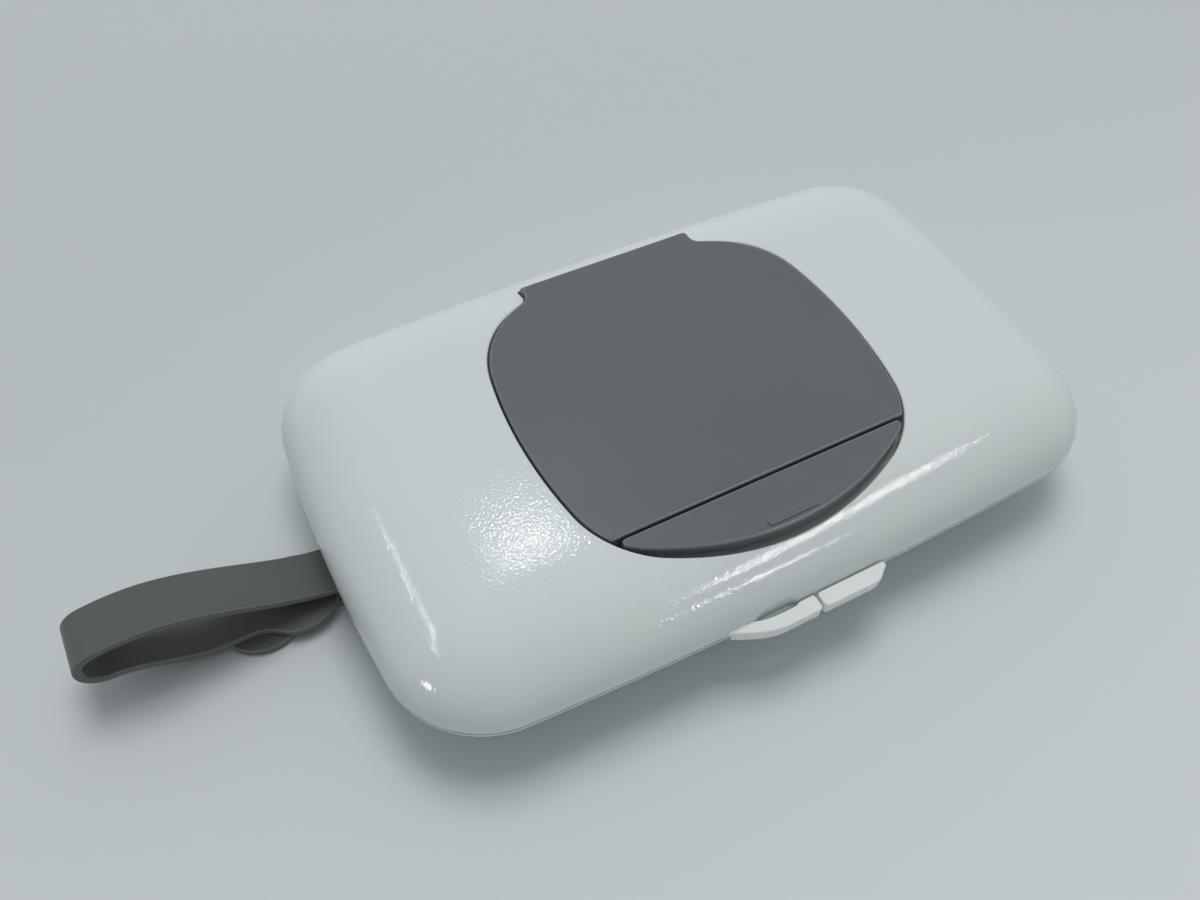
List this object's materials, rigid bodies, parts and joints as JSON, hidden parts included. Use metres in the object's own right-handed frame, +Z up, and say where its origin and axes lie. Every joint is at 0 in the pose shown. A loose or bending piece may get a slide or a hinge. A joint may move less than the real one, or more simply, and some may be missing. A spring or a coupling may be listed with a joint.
{
  "type": "travel wipes case",
  "caption": "Pillow-shaped clamshell case for wet wipes with a flush flip lid over a soft dispensing mouth, a latch button, pull tabs and a looped wrist strap",
  "frame": {"origin": "centre of the case's flat foot, on the ground, which is not the middle of the whole object because the strap reaches out at one end", "axes": "+X along the case away from the strap, +Y from the pull tabs at the front to the hinges at the back, +Z up"},
  "size_m": [0.2647, 0.1289, 0.0363],
  "materials": {
    "shell": "glossy white polypropylene with a very fine moulded texture",
    "lid": "satin warm grey ABS",
    "inner": "satin white polypropylene",
    "soft": "matte light grey silicone",
    "strap": "matte dark grey silicone",
    "snap": "satin dark grey acetal",
    "window": "clear polystyrene",
    "steel": "drawn stainless steel wire"
  },
  "bodies": {
    "base": {"bottom_shell": "shell", "base_window": "window", "hinge_pin_left": "steel", "hinge_pin_right": "steel"},
    "cover": {"top_shell": "shell", "case_seal": "soft", "dispensing_insert": "soft", "lid_pin": "steel", "lid_spring": "steel", "button_pin": "steel", "button_spring": "steel"},
    "lid": {"flip_lid": "lid", "lid_liner": "inner", "lid_gasket": "soft"},
    "button": {"push_button": "lid"},
    "strap": {"strap": "strap", "strap_stud": "snap"}
  },
  "joints": [
    {"name": "cover_hinge", "type": "hinge", "parent": "base", "child": "cover", "pos_m": [0, 0.0614, 0.0174], "axis": [-1, 0, 0], "range_deg": [0, 170]},
    {"name": "lid_hinge", "type": "hinge", "parent": "cover", "child": "lid", "pos_m": [0, 0.0465, 0.0324], "axis": [-1, 0, 0], "range_deg": [0, 105]},
    {"name": "button_press", "type": "hinge", "parent": "cover", "child": "button", "pos_m": [0, -0.0364, 0.0312], "axis": [1, 0, 0], "range_deg": [0, 12], "stiffness_Nm_per_rad": 0.15, "deforming": ["button_spring"]},
    {"name": "strap_swing", "type": "hinge", "parent": "base", "child": "strap", "pos_m": [-0.087, 0.0045, 0.0063], "axis": [0, 1, 0], "range_deg": [0, 15]}
  ]
}
